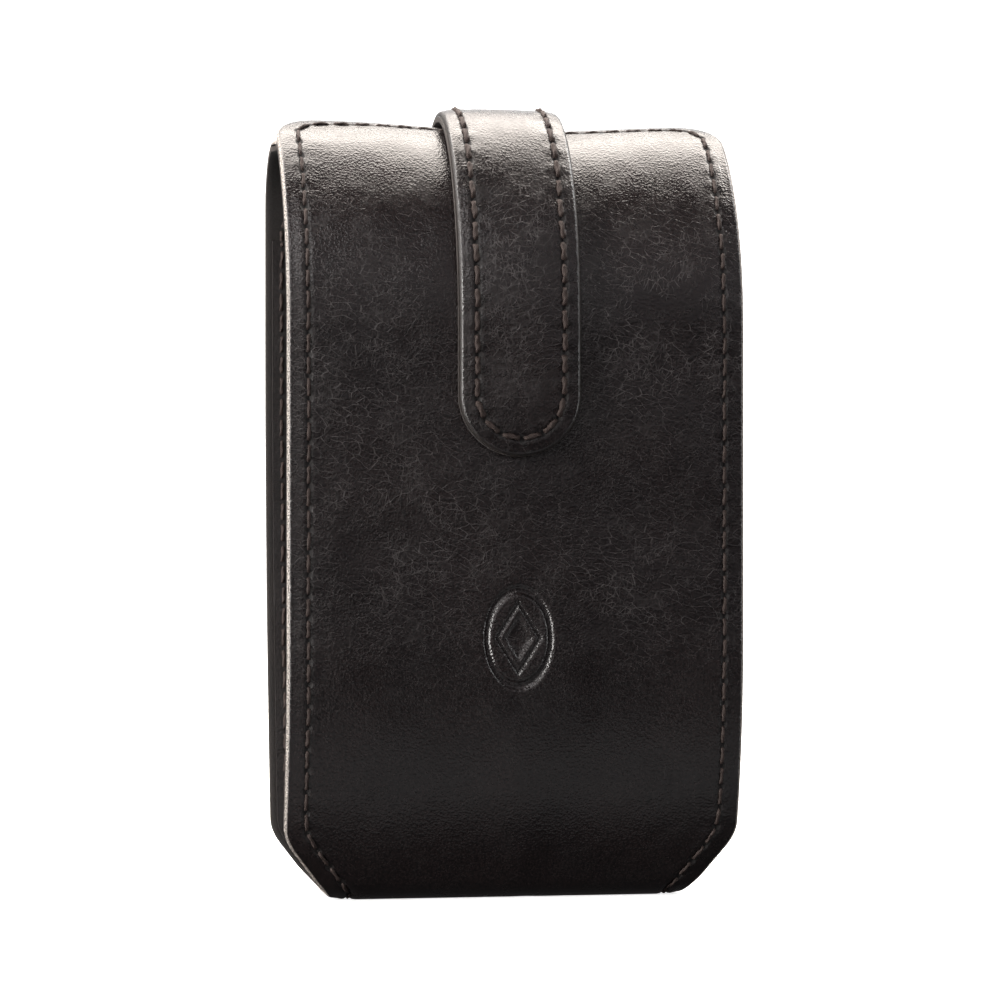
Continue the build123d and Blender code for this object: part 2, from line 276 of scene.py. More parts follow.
class Sheet:
    """A sheet of leather laid over a path.

    half_width says how wide it is at each height. levels are the insets of the rings of mesh
    along its cut edges, and middle has the columns between them. ends are the arc lengths where
    it starts and stops, corners the radii there. fine is a band of rows: from, to and step.
    """

    def __init__(self, path, half_width, levels, middle, row_step, ends, corners, fine=None):
        self.path, self.half_width = path, half_width
        self.start, self.stop = ends
        self.corners = corners
        rings = np.array(levels)
        first = self.start + (rings if corners[0] else rings[:1])
        last = self.stop - (rings[::-1] if corners[1] else rings[:1])
        stops = [first[-1], *(fine[:2] if fine else ()), last[0]]
        steps = [row_step, fine[2], row_step] if fine else [row_step]
        runs = [
            np.linspace(low, high, max(3, int((high - low) / step) + 1))[:-1]
            for low, high, step in zip(stops[:-1], stops[1:], steps)
        ]
        rows = np.concatenate([first[:-1], *runs, last])
        insets = np.concatenate([rings, np.full(len(middle), rings[-1]), rings[::-1]])
        across = np.concatenate([0 * rings, middle, 0 * rings])
        side = np.repeat((-1, 0, 1), (len(rings), len(middle), len(rings)))
        self.s, self.inset = np.meshgrid(rows, insets, indexing="ij")
        self.round_corners(side, across)

    def round_corners(self, side, across):
        """Bends the square ends of the grid into round corners, ring by ring, and works out x."""
        s, inset = self.s, self.inset
        self.edge = inset
        for end, sign, radius in zip((self.start, self.stop), (1, -1), self.corners):
            if not radius:
                continue
            far = sign * (s - end)
            ring = np.minimum(inset, far)
            reach = radius - ring
            along = np.abs(inset - far)
            inside = (side != 0) & (reach > 0) & (along < reach) & (far < radius)
            angle = np.radians(45) * (1 - np.clip(along / np.maximum(reach, 1e-9), 0, 1))
            by_side = inset <= far
            new_inset = radius - reach * np.where(by_side, np.cos(angle), np.sin(angle))
            new_far = radius - reach * np.where(by_side, np.sin(angle), np.cos(angle))
            self.edge = np.where(far < radius * 3, np.minimum(self.edge, ring), self.edge)
            inset = np.where(inside, new_inset, inset)
            s = np.where(inside, end + sign * new_far, s)
        z = self.path.at(s)[1]
        middle_x = across * self.half_width(self.inset, z)
        self.s, self.x = s, np.where(side == 0, middle_x, side * self.half_width(inset, z))

    def flats(self, count):
        """The flat coordinates of so many layers, apart in depth so that their edges have grain."""
        flat = np.stack([self.x, self.s, np.zeros_like(self.s)], -1)
        return [flat + (0, 0, 0.6 * n) for n in range(count)]

    def place(self, height):
        """The grid in space, at a height above the path."""
        return lay(self.path, self.s, self.x, height)


def lay(path, s, x, height):
    """Points of a flat pattern laid over a path, in millimetres."""
    y, z, ny, nz = path.at(s)
    return np.stack([np.broadcast_to(x, y.shape), y + ny * height, z + nz * height], -1)


# ---- mesh making


def add_object(name, data):
    """Puts a new object with this data into the scene."""
    made = bpy.data.objects.new(name, data)
    bpy.context.scene.collection.objects.link(made)
    return made


def build_mesh(name, points, faces, attributes, material, sharp=48):
    """A mesh object from points in millimetres, with point attributes, shaded smooth."""
    mesh = bpy.data.meshes.new(name)
    mesh.from_pydata((np.asarray(points) * MM).tolist(), [], faces)
    for key, values in attributes.items():
        values = np.asarray(values, np.float32)
        kind = "FLOAT_VECTOR" if values.ndim == 2 else "FLOAT"
        data = mesh.attributes.new(key, kind, "POINT").data
        data.foreach_set("vector" if values.ndim == 2 else "value", values.ravel())
    mesh.shade_smooth()
    mesh.set_sharp_from_angle(angle=math.radians(sharp))
    mesh.materials.append(material)
    mesh.update()
    return add_object(name, mesh)


def grid_faces(rows, columns, offset, flip):
    """The quads of a grid."""
    index = np.arange(rows * columns).reshape(rows, columns) + offset
    quads = np.stack([index[:-1, :-1], index[:-1, 1:], index[1:, 1:], index[1:, :-1]], -1)
    return quads.reshape(-1, 4)[:, :: -1 if flip else 1].tolist()


def rim(rows, columns):
    """The indices round the outside of a grid."""
    index = np.arange(rows * columns).reshape(rows, columns)
    return np.concatenate([index[0, :-1], index[:-1, -1], index[-1, :0:-1], index[:0:-1, 0]])


def solid_from_grids(name, layers, attributes, material, flip=False):
    """A closed solid between the first and last grid, with the others' rims between them."""
    rows, columns = layers[0].shape[:2]
    around = rim(rows, columns)
    total, count = rows * columns, len(around)

    def joined(values):
        """The first and the last grid whole, and the rims of those between."""
        grids = [value.reshape(total, -1) for value in values]
        return np.concatenate([grids[0], *(grid[around] for grid in grids[1:-1]), grids[-1]])

    between = len(layers) - 2
    last = total + count * between
    rims = [around, *(np.arange(count) + total + count * n for n in range(between)), around + last]
    faces = grid_faces(rows, columns, 0, flip) + grid_faces(rows, columns, last, not flip)
    for upper, lower in zip(rims[:-1], rims[1:]):
        ring = np.stack([upper, lower, np.roll(lower, -1), np.roll(upper, -1)], -1)
        faces += (ring[:, ::-1] if flip else ring).tolist()
    spread = {key: joined(values).squeeze() for key, values in attributes.items()}
    return build_mesh(name, joined(layers), faces, spread, material)


# ---- node helpers


def new_material(name):
    """A material with just a Principled shader: the material, its tree and the shader's inputs."""
    made = bpy.data.materials.new(name)
    made.use_nodes = True
    tree = made.node_tree
    tree.nodes.clear()
    shader = tree.nodes.new("ShaderNodeBsdfPrincipled")
    out = tree.nodes.new("ShaderNodeOutputMaterial")
    tree.links.new(shader.outputs["BSDF"], out.inputs["Surface"])
    return made, tree, shader.inputs


def fill(tree, sockets, values):
    """Links each value that is a socket into the input of that name, and sets the others."""
    for key, value in values.items():
        if isinstance(value, bpy.types.NodeSocket):
            tree.links.new(value, sockets[key])
        else:
            sockets[key].default_value = value


def node(source, kind, inputs, **settings):
    """Adds a node to source, which is a tree or a socket in one, and gives the node's outputs."""
    tree = source.id_data
    made = tree.nodes.new("ShaderNode" + kind)
    for key, value in settings.items():
        setattr(made, key, value)
    fill(tree, made.inputs, inputs)
    return made.outputs


def maths(operation):
    """A function that works out something from two numbers, the first of them a socket."""
    return lambda one, other: node(one, "Math", {0: one, 1: other}, operation=operation)[0]


times = maths("MULTIPLY")
plus = maths("ADD")
larger = maths("MAXIMUM")


def attribute(tree, name):
    """A point attribute as a number."""
    return node(tree, "Attribute", {}, attribute_name=name)["Fac"]


def flat_coordinates(tree, shift=(0, 0, 0), scale=(1, 1, 1)):
    """The sheet's own flat coordinates in millimetres, so that grain follows the leather."""
    read = node(tree, "Attribute", {}, attribute_name="flat")["Vector"]
    return node(tree, "Mapping", {"Vector": read, "Location": shift, "Scale": scale})[0]


def noise(vector, size, detail=3.0, roughness=0.5, distortion=0.0):
    """Noise whose features are size millimetres across, read in the sheet's plane."""
    shape = {"Scale": 1 / size, "Detail": detail, "Roughness": roughness, "Distortion": distortion}
    return node(vector, "TexNoise", {"Vector": vector, **shape}, noise_dimensions="2D")


def cells(vector, size, feature="F1"):
    """Distances in a cell pattern whose cells are size millimetres across."""
    shape = {"Vector": vector, "Scale": 1 / size, "Randomness": 1.0}
    return node(vector, "TexVoronoi", shape, voronoi_dimensions="2D", feature=feature)["Distance"]


def ramp(value, low, high, start=0.0, end=1.0):
    """A smooth step from start to end as value goes from low to high."""
    ends = {"From Min": low, "From Max": high, "To Min": start, "To Max": end}
    return node(value, "MapRange", {"Value": value, **ends}, interpolation_type="SMOOTHSTEP")["Result"]


def mix(factor, one, other):
    """A colour between two."""
    inputs = {"Factor": factor, "A": one, "B": other}
    return node(factor, "Mix", inputs, data_type="RGBA")["Result"]


def warped(vector, amount, size, detail=2.0):
    """Coordinates pushed about by noise."""
    push = noise(vector, size, detail)["Color"]
    return node(vector, "VectorMath", {0: push, 1: (amount,) * 3, 2: vector}, operation="MULTIPLY_ADD")[0]


def bump(height, millimetres, before=None):
    """A bump whose full height is in millimetres, over the one before."""
    inputs = {"Distance": millimetres * MM, "Height": height}
    if before is not None:
        inputs["Normal"] = before
    return node(height, "Bump", inputs)["Normal"]


# ---- materials


def creases(vector, turn, stretch, size, width, low, high, mask):
    """A net of fine creases, drawn out along one direction, where the mask lets it show."""
    angle = {"Vector": vector, "Angle": math.radians(turn)}
    turned = node(vector, "VectorRotate", angle, rotation_type="Z_AXIS")[0]
    drawn = node(turned, "VectorMath", {0: turned, 1: (1.0, stretch, 1.0)}, operation="MULTIPLY")[0]
    line = ramp(cells(drawn, size, "DISTANCE_TO_EDGE"), 0.0, width / size, 1.0, 0.0)
    return times(line, ramp(mask, low, high))


def leather_material(name, dark, light, rough, grain, crease_share, shift, edge_tones, upright_share=0.5):
    """Fine grained leather: pebbles and pores, a net of creases in patches painted pale as a highlight,
    and uneven dye, with painted glints on the grain and painted shade between the pebbles and in the
    stitch holes.
    """
    made, tree, shader = new_material(name)
    flat = flat_coordinates(tree, shift)
    pebble = cells(warped(flat, 0.4, 0.9), 0.58)
    pore = cells(flat, 0.34)
    fine = noise(flat, 0.19, 1.0)["Fac"]

    # four nets of creases, each with its direction, stretch, cell size, width and mask
    bent = warped(warped(flat, 1.6, 6.0, 1.0), 0.6, 1.4)
    patches = noise(flat, 19.0, 3.0, 0.6)["Fac"]
    other = noise(flat, 9.0, 2.0, 0.6, 0.4)["Fac"]
    net = creases(bent, 108, 0.36, 1.25, 0.08, 0.30, 0.50, patches)
    rising = creases(bent, 42, 0.45, 1.6, 0.08, 0.42, 0.60, other)
    upright = creases(bent, 3, 0.26, 1.05, 0.08, 0.40, 0.60, other)
    hair = creases(bent, 20, 0.8, 0.75, 0.075, 0.25, 0.50, patches)
    for crease, share in ((rising, 0.8), (upright, upright_share), (hair, 0.28)):
        net = larger(net, times(crease, share))
    broken = ramp(noise(flat, 1.9, 1.0)["Fac"], 0.35, 0.6, 0.4, 1.0)
    worn = times(attribute(tree, "worn"), crease_share)
    lines = times(times(net, broken), worn)

    tone = noise(flat, 26.0, 4.0, 0.6)["Fac"]
    colour = mix(ramp(tone, 0.3, 0.7), dark, light)
    # painted glints: pale flecks on the grain's high points, where light would catch
    grain_glint = times(ramp(pore, 0.1, 0.6, 1.0, 0.0), ramp(fine, 0.35, 0.6))
    edge = attribute(tree, "edge")
    sunk = attribute(tree, "sunk")
    fibre = noise(flat_coordinates(tree, shift, (1.5, 1.0, 1.5)), 0.3, 2.0, 0.7)["Fac"]
    for share, over in (
        (grain_glint, tuple(2.0 * c for c in light[:3]) + (1,)),
        # painted shade in the grooves between the pebbles
        (ramp(pebble, 0.25, 0.65, 0.0, 0.7), PEBBLE_GROOVE_SHADE),
        # the creases painted pale: a painted highlight along their grooves
        (lines, CREASE_HIGHLIGHT),
        # the cut edge's tones; on the wrap they are partly painted side light
        (edge, mix(ramp(fibre, 0.35, 0.65), *edge_tones)),
        # painted shade down in the stitch holes and the seam channel
        (sunk, HOLE_SHADE),
    ):
        colour = mix(share, colour, over)

    gloss = ramp(noise(flat, 8.0, 4.0, 0.65)["Fac"], 0.3, 0.75, rough - 0.04, rough + 0.08)
    gloss = plus(gloss, times(edge, 0.22))
    gloss = plus(gloss, times(lines, 0.15))
    gloss = plus(gloss, ramp(sunk, 0.05, 0.5, 0.0, 0.6))

    # pebbles, pores and creases are pressed in, the rest stands up; depths in millimetres
    normal = None
    for height, depth in (
        (times(pebble, -1.0), 0.05 * grain),
        (times(pore, -1.0), 0.03 * grain),
        (fine, 0.02 * grain),
        (times(lines, -1.0), 0.025),
        (noise(flat, 3.4, 1.0)["Fac"], 0.045),
        (times(fibre, edge), 0.12),
    ):
        normal = bump(height, depth, normal)
    looks = {"Base Color": colour, "Roughness": gloss, "Specular IOR Level": 0.66, "Normal": normal}
    fill(tree, shader, looks)
    return made


def lining_material(name, dark, light):
    """Thin split leather: short nap, no gloss."""
    made, tree, shader = new_material(name)
    flat = flat_coordinates(tree)
    nap = noise(flat, 0.35, 5.0, 0.7, 0.6)["Fac"]
    cloud = noise(flat, 14.0, 4.0, 0.6)["Fac"]
    colour = mix(ramp(cloud, 0.3, 0.7), dark, light)
    colour = mix(ramp(nap, 0.35, 0.75, 0.0, 0.4), colour, light)
    fibre = noise(flat_coordinates(tree, (3, 5, 0), (6.0, 1.0, 6.0)), 0.8, 4.0, 0.7)["Fac"]
    edge_colour = mix(fibre, (0.012, 0.009, 0.0078, 1), (0.055, 0.043, 0.037, 1))
    edge = attribute(tree, "edge")
    looks = {
        "Base Color": mix(edge, colour, edge_colour),
        "Roughness": ramp(nap, 0.3, 0.8, 0.7, 0.92),
        "Normal": bump(nap, 0.06),
        "Sheen Weight": 0.06,
    }
    fill(tree, shader, looks)
    return made


def thread_material(name, dark, light):
    """Waxed two-ply thread: fibres along the twist."""
    made, tree, shader = new_material(name)
    flat = flat_coordinates(tree)
    shape = {"Vector": flat, "Scale": 1.6, "Distortion": 1.2, "Detail": 2.0}
    twist = node(tree, "TexWave", shape, bands_direction="DIAGONAL")["Fac"]
    fluff = noise(flat, 0.3, 4.0, 0.7)["Fac"]
    mixed = plus(times(twist, 0.6), times(fluff, 0.5))
    looks = {
        "Base Color": mix(ramp(mixed, 0.2, 0.9), dark, light),
        "Roughness": ramp(fluff, 0.2, 0.8, 0.6, 0.8),
        "Normal": bump(mixed, 0.05),
        "Specular IOR Level": 0.3,
    }
    fill(tree, shader, looks)
    return made


def plain_material(name, colour, rough, metallic, size, depth):
    """Board or metal with fine mottling, for pieces inside the layers."""
    made, tree, shader = new_material(name)
    place = node(tree, "TexCoord", {})["Object"]
    inputs = {"Vector": place, "Scale": (1 / MM,) * 3, "Rotation": (0.9, 0.4, 0.3)}
    speck = noise(node(tree, "Mapping", inputs)[0], size, 4.0, 0.6)["Fac"]
    darker = tuple(c * 0.7 for c in colour[:3]) + (1,)
    looks = {
        "Base Color": mix(speck, darker, colour),
        "Roughness": ramp(speck, 0.3, 0.7, rough - 0.08, rough + 0.08),
        "Normal": bump(speck, depth),
        "Metallic": metallic,
    }
    fill(tree, shader, looks)
    return made


DARK = (0.0048, 0.0030, 0.0033, 1)
LIGHT = (0.0122, 0.0080, 0.0079, 1)
# painted highlight for the crease lines
CREASE_HIGHLIGHT = (0.085, 0.077, 0.076, 1)
# painted shade for the grooves between the pebbles
PEBBLE_GROOVE_SHADE = (0.003, 0.0022, 0.0024, 1)
# painted shade for the stitch holes and the seam channel
HOLE_SHADE = (0.003, 0.0022, 0.002, 1)
# the raw cut edge's own fibre tones, with the pale end raised as painted side light on the edge
RAW_EDGE_AND_SIDE_LIGHT = ((0.045, 0.035, 0.030, 1), (0.62, 0.56, 0.51, 1))
PAINTED_EDGE = ((0.009, 0.0068, 0.006, 1), (0.028, 0.022, 0.020, 1))
GUSSET_DARK = (0.006, 0.0042, 0.0042, 1)
GUSSET_LIGHT = (0.013, 0.0095, 0.009, 1)

front_look = leather_material("wrap_leather", DARK, LIGHT, 0.22, 1.0, 1.0, (0, 0, 0), RAW_EDGE_AND_SIDE_LIGHT)
back_look = leather_material("back_leather", DARK, LIGHT, 0.24, 1.0, 0.8, (213, 77, 0), RAW_EDGE_AND_SIDE_LIGHT)
strap_look = leather_material(
    "strap_leather", DARK, LIGHT, 0.25, 1.0, 1.0, (511, 39, 0), PAINTED_EDGE, 0.9
)
gusset_look = leather_material(
    "gusset_leather", GUSSET_DARK, GUSSET_LIGHT, 0.42, 0.9, 0.5, (97, 301, 0), PAINTED_EDGE
)
lining_look = lining_material("lining", (0.0042, 0.0029, 0.0025, 1), (0.0105, 0.0072, 0.0062, 1))
thread_look = thread_material("thread", (0.014, 0.009, 0.008, 1), (0.080, 0.058, 0.051, 1))
board_look = plain_material("board", (0.30, 0.25, 0.19, 1), 0.85, 0.0, 0.8, 0.05)
magnet_look = plain_material("magnet", (0.62, 0.61, 0.59, 1), 0.28, 1.0, 0.3, 0.01)

# ---- relief of the leather

WRAP_LEVELS = [
    0.0, 0.14, 0.32, 0.52, 0.68, 0.8, 0.92, 1.06, 1.3, 1.7, 2.3, 2.8, 3.2,
    3.5, 3.75, 4.0, 4.25, 4.5, 4.85, 5.4, 6.2, 7.1, 8.0, 8.9,
]
LINING_LEVELS = [0.0, 0.3, 1.2, 4.0, 8.9]
STRAP_LINING_LEVELS = [0.0, 0.3, 1.2, 2.6, 4.4, 6.2, 8.0, 9.8, 11.6]
STRAP_LEVELS = [
    0.0, 0.12, 0.3, 0.55, 0.8, 1.05, 1.4, 1.9, 2.4, 2.75, 3.0, 3.2,
    3.4, 3.6, 3.8, 4.1, 4.6, 5.3, 6.1, 6.9, 7.7, 8.5, 9.3, 10.1, 10.9, 11.4,
]


def seam_route(path, half_width, inset, ends, corners):
    """The seam line in flat coordinates: up the left side, round the end and down the right.

    An end whose corner is round is sewn across too.
    """
    start, stop = ends
    low, high = start + corners[0], stop - corners[1]

    def corner(sign, centre_s, radius, start_angle, end_angle):
        t = np.radians(np.linspace(start_angle, end_angle, max(6, int(radius * 16))))
        centre_x = half_width(inset, path.at(centre_s)[1]) - radius
        return np.stack([centre_s + radius * np.sin(t), sign * (centre_x + radius * np.cos(t))], 1)

    def end(sign, line_s, centre_s, radius, turn):
        reach = sign * (half_width(inset, path.at(line_s)[1]) - radius)
        across = np.arange(reach, -reach, -sign * ROUTE_STEP)
        return [
            corner(sign, centre_s, radius, 0, turn),
            np.stack([np.full(len(across), line_s), across], 1),
            corner(-sign, centre_s, radius, turn, 0),
        ]

    s = np.arange(low, high, ROUTE_STEP)
    up = np.stack([s, -half_width(inset, path.at(s)[1])], 1)
    pieces = [up]
    if corners[1]:
        pieces += end(-1, stop - inset, high, corners[1] - inset, 90)
    pieces.append(up[::-1] * (1, -1))
    if corners[0]:
        pieces += end(1, start + inset, low, corners[0] - inset, -90)
    return np.concatenate(pieces)


def holes_along(route, closed=False):
    """Evenly pitched needle holes along a seam line, each a little off its place."""
    at = along_line(route)
    where = np.linspace(0, at[-1], int(round(at[-1] / STITCH_PITCH)) + 1)
    where = where[:-1] if closed else where[1:-1]
    spots = np.stack([np.interp(where, at, column) for column in route.T], 1)
    scatter = np.random.default_rng(len(spots)).uniform(-HOLE_SCATTER, HOLE_SCATTER, spots.shape)
    return spots + scatter


def dots(s, x, spots, size):
    """1 at each spot, 0 away from them."""
    depth = np.zeros(s.shape)
    for spot_s, spot_x in spots:
        near = (np.abs(s - spot_s) < 3 * size) & (np.abs(x - spot_x) < 3 * size)
        if near.any():
            away = ((s[near] - spot_s) ** 2 + (x[near] - spot_x) ** 2) / size**2
            depth[near] = np.maximum(depth[near], np.exp(-away))
    return depth


def seam_relief(s, x, edge, holes, inset, pucker, closed=False):
    """How a seam works the leather: the change in height, and how much painted shade it gets down in its
    holes and channel.
    """
    channel = bell(edge, inset, CHANNEL_HALF)
    pits = dots(s, x, holes, HOLE_R)
    following = np.roll(holes, -1, 0) if closed else holes[1:]
    before = holes if closed else holes[:-1]
    middle = (before + following) / 2
    run = following - before
    across = np.stack([-run[:, 1], run[:, 0]], 1) / np.linalg.norm(run, axis=1)[:, None]
    beside = np.concatenate([middle + 1.05 * across, middle - 1.05 * across])
    swell = dots(s, x, beside, 0.95)
    height = pucker * swell - CHANNEL_DEPTH * channel - HOLE_DEPTH * pits
    # the second value is the painted shade in the holes and the channel
    return height, np.clip(0.95 * np.sqrt(pits) + 0.15 * channel, 0, 1)


def edge_roll(inset, width=0.8, drop=0.62):
    """The burnished cut edge: the surface turns down to it in a rounded bevel."""
    t = np.clip(1 - inset / width, 0, 1)
    return -drop * (0.35 * t + 0.65 * (1 - np.sqrt(np.clip(1 - t**2, 0, 1))))


MOTIF_S = FRONT.s_at_height(51.0)
OVAL_HALF = (6.2, 9.2)
LOZENGE_HALF = (2.6, 4.1)


def motif(s, x):
    """A plain debossed mark: an upright oval ring round a small lozenge."""
    up = s - MOTIF_S
    oval = np.hypot(x / OVAL_HALF[0], up / OVAL_HALF[1])
    ring = np.exp(-(((oval - 1) * 7.2 / 0.62) ** 4))
    lozenge = np.abs(x) / LOZENGE_HALF[0] + np.abs(up) / LOZENGE_HALF[1]
    mark = 1 / (1 + np.exp((lozenge - 1) * 11))
    inner = np.exp(-(((lozenge - 1.62) * 2.6 / 0.42) ** 4))
    return np.clip(ring + mark + 0.8 * inner, 0, 1)


def off_base(s):
    """0 on the base, which the case stands on, and 1 from where its corners rise."""
    return smooth(s, 9, 13)


def lip_sag(s, x, path):
    """The lips are pulled down a little where the strap crosses them."""
    rear = smooth(s, path.length - 24, path.length)
    lift = 1.05 * bell(x, -37, 22) + 0.85 * bell(x, 39, 15)
    return rear * (0.75 * bell(x, 2, 15) - lift)


def wrap_relief(sheet, holes, seed, hills):
    """Height of the wrap's outer face above the path, and how sunk each point is.

    The front is crowned and carries the mark; the back lies flatter.
    """
    s, x, edge = sheet.s, sheet.x, sheet.edge
    seam, sunk = seam_relief(s, x, edge, holes, SEAM_INSET, 0.07)
    height = edge_roll(edge) + seam
    height -= BORDER_FALL * (1 - smooth(edge, 0.6, 4.2))
    height += 0.10 * ripple(s, x, seed, 34) * smooth(edge, 2, 9)
    height += hills * ripple(s, x, seed + 2, 11) * smooth(edge, 2, 7)
    if sheet.path is FRONT:
        height += FRONT_CROWN * smooth(edge, SEAM_INSET + 0.5, 17.0) - MOTIF_DEPTH * motif(s, x)
    height -= lip_sag(s, x, sheet.path)
    # under the base, which the case stands on, nothing comes below the path
    height = np.minimum(height, 0.6 * smooth(s, 9, 18))
    height -= 0.4 * (1 - off_base(s)) * bell(edge, SEAM_INSET, 0.7)
    return height, sunk


def strap_relief(sheet, holes):
    """The strap's outer face: padded between its seams, with a thin burnished edge."""
    s, x, edge = sheet.s, sheet.x, sheet.edge
    seam, sunk = seam_relief(s, x, edge, holes, STRAP_SEAM_INSET - STRAP_STEP, 0.13, True)
    height = STRAP_TOP + edge_roll(edge, 0.7, 0.6) + seam
    height += 0.22 * smooth(edge, STRAP_SEAM_INSET, 8.0) - 0.28 * (1 - smooth(edge, 0.6, 3.0))
    height += 0.05 * ripple(s, x, 23, 14) * smooth(edge, 1, 5)
    return height, sunk


# ---- sheets as solids


def leather_solid(name, sheet, height, sunk, worn, under, material, flip, bevel=0.42):
    """A layer of leather from its worked outer face down to under, with its cut edge rounded."""
    low = np.broadcast_to(under, height.shape)
    steps = [height, height * 0.55 + low * 0.45, height * 0.2 + low * 0.8, low]
    layers = [sheet.place(step) for step in steps]
    near = 1 - smooth(sheet.edge, bevel - 0.12, bevel + 0.06)
    zero, one = np.zeros_like(height), np.ones_like(height)
    attributes = {
        "flat": sheet.flats(len(steps)),
        "edge": [near, one, one, zero],
        "sunk": [sunk, zero, zero, zero],
        "worn": [worn, zero, zero, zero],
    }
    return solid_from_grids(name, layers, attributes, material, flip)


def wear(sheet, places):
    """How creased each point is: least in the lower panel, most round each of the places."""
    z = sheet.path.at(sheet.s)[1]
    worn = 0.12 + 0.26 * smooth(z, 28, 60) - 0.2 * smooth(z, 134, 144)
    for x_at, z_at, x_size, z_size, share in places:
        worn += share * bell(sheet.x, x_at, x_size) * bell(z, z_at, z_size)
    return np.clip(worn, 0, 1)


REACH = HALF_WIDTH - WRAP_LEVELS[-1]


def middle_columns(coarse_step, fine_half=0.0, fine_step=1.0):
    """Where the columns between the borders go, as shares of the half width, finer in the middle."""
    fine = np.arange(-fine_half, fine_half + 1e-6, fine_step)
    count = int((REACH - fine_half) / coarse_step)
    side = np.linspace(fine_half, REACH, count + 1)[1:-1]
    return np.concatenate([-side[::-1], fine, side]) / REACH


def lining_layer(name, sheet, high, low, near, flip):
    """A plain layer under the leather, between two heights above the path."""
    layers = [sheet.place(high), sheet.place(high * 0.5 + low * 0.5), sheet.place(low)]
    attributes = {
        "flat": sheet.flats(3),
        "edge": [near, np.ones_like(near), near * 0.6],
    }
    return solid_from_grids(name, layers, attributes, lining_look, flip)


def stitches(name, path, holes, level, seed, breaks=(), facing=1, thread_r=THREAD_R):
    """A row of separate stitches: each dives into a hole at either end.

    level gives the thread's height above the path at each point. breaks holds the numbers of the
    holes after which the row starts again.
    """
    rng = np.random.default_rng(seed)
    around, along, inward = 10, 15, 0.055
    turn = np.linspace(0, 2 * math.pi, around, endpoint=False)
    t = np.linspace(0.0, 1.0, along)
    shape = np.clip(1 - np.abs(2 * t - 1) ** 4.5, 0, 1)
    points, faces, flats = [], [], []
    pairs = [(n, n + 1) for n in range(len(holes) - 1) if n not in breaks]
    for number, (one, other) in enumerate(pairs):
        span = holes[other] - holes[one]
        length = np.linalg.norm(span)
        direction = span / length
        across = np.array([-direction[1], direction[0]])
        slant = 0.08 + rng.uniform(-0.06, 0.06)
        thick = thread_r * rng.uniform(0.93, 1.07)
        spot = holes[one] + direction * length * (inward + (1 - 2 * inward) * t)[:, None]
        spot = spot + across * (slant * (t - 0.5) * 1.6)[:, None]
        sink = thick * 0.62 * shape - 0.62 * (1 - shape) ** 1.4
        rise = level(spot[:, 0], spot[:, 1]) + facing * sink
        radius = thick * (0.55 + 0.45 * np.clip(shape * 1.6, 0, 1))
        ply = 1 + 0.19 * np.cos(2 * turn[None, :] - 11.0 * t[:, None] + number)
        ring = radius[:, None] * ply
        s = spot[:, :1] + across[0] * ring * np.cos(turn)
        x = spot[:, 1:] + across[1] * ring * np.cos(turn)
        h = rise[:, None] + ring * np.sin(turn) * 0.9
        points.append(lay(path, s, x, h).reshape(-1, 3))
        run = t[:, None] * length + number * 7
        flats.append(np.stack(np.broadcast_arrays(turn * thick, run, 0.0), -1).reshape(-1, 3))
        index = np.arange(along * around).reshape(along, around) + number * along * around
        beside = np.roll(index, -1, 1)
        quads = np.stack([index[:-1], beside[:-1], beside[1:], index[1:]], -1).reshape(-1, 4)
        faces += quads.tolist() + [index[0][::-1].tolist(), index[-1].tolist()]
    flat = {"flat": np.concatenate(flats)}
    return build_mesh(name, np.concatenate(points), faces, flat, thread_look, 180)


def blend_all(pieces, a, b, start, end):
    """Bakes each piece's transform into its mesh."""
    for piece in pieces:
        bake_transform(piece)


# ---- the wrap

MOTIF_ROWS = (MOTIF_S - 10.5, MOTIF_S + 10.5, 0.3)
FRONT_FOLD = ((0, -15.5, 129), (0, -4, 149.5))
BACK_FOLD = ((0, 20.5, 129), (0, 15, 148))

# where the leather is creased most: x, z, half the width and height of the place, and its share
FRONT_WEAR = (
    (28, 112, 15, 14, 1.0),
    (-34, 106, 12, 16, 0.8),
    (-22, 72, 16, 13, 0.55),
    (24, 62, 15, 10, 0.4),
)
BACK_WEAR = ((-20, 100, 20, 30, 0.7), (22, 55, 20, 26, 0.7))


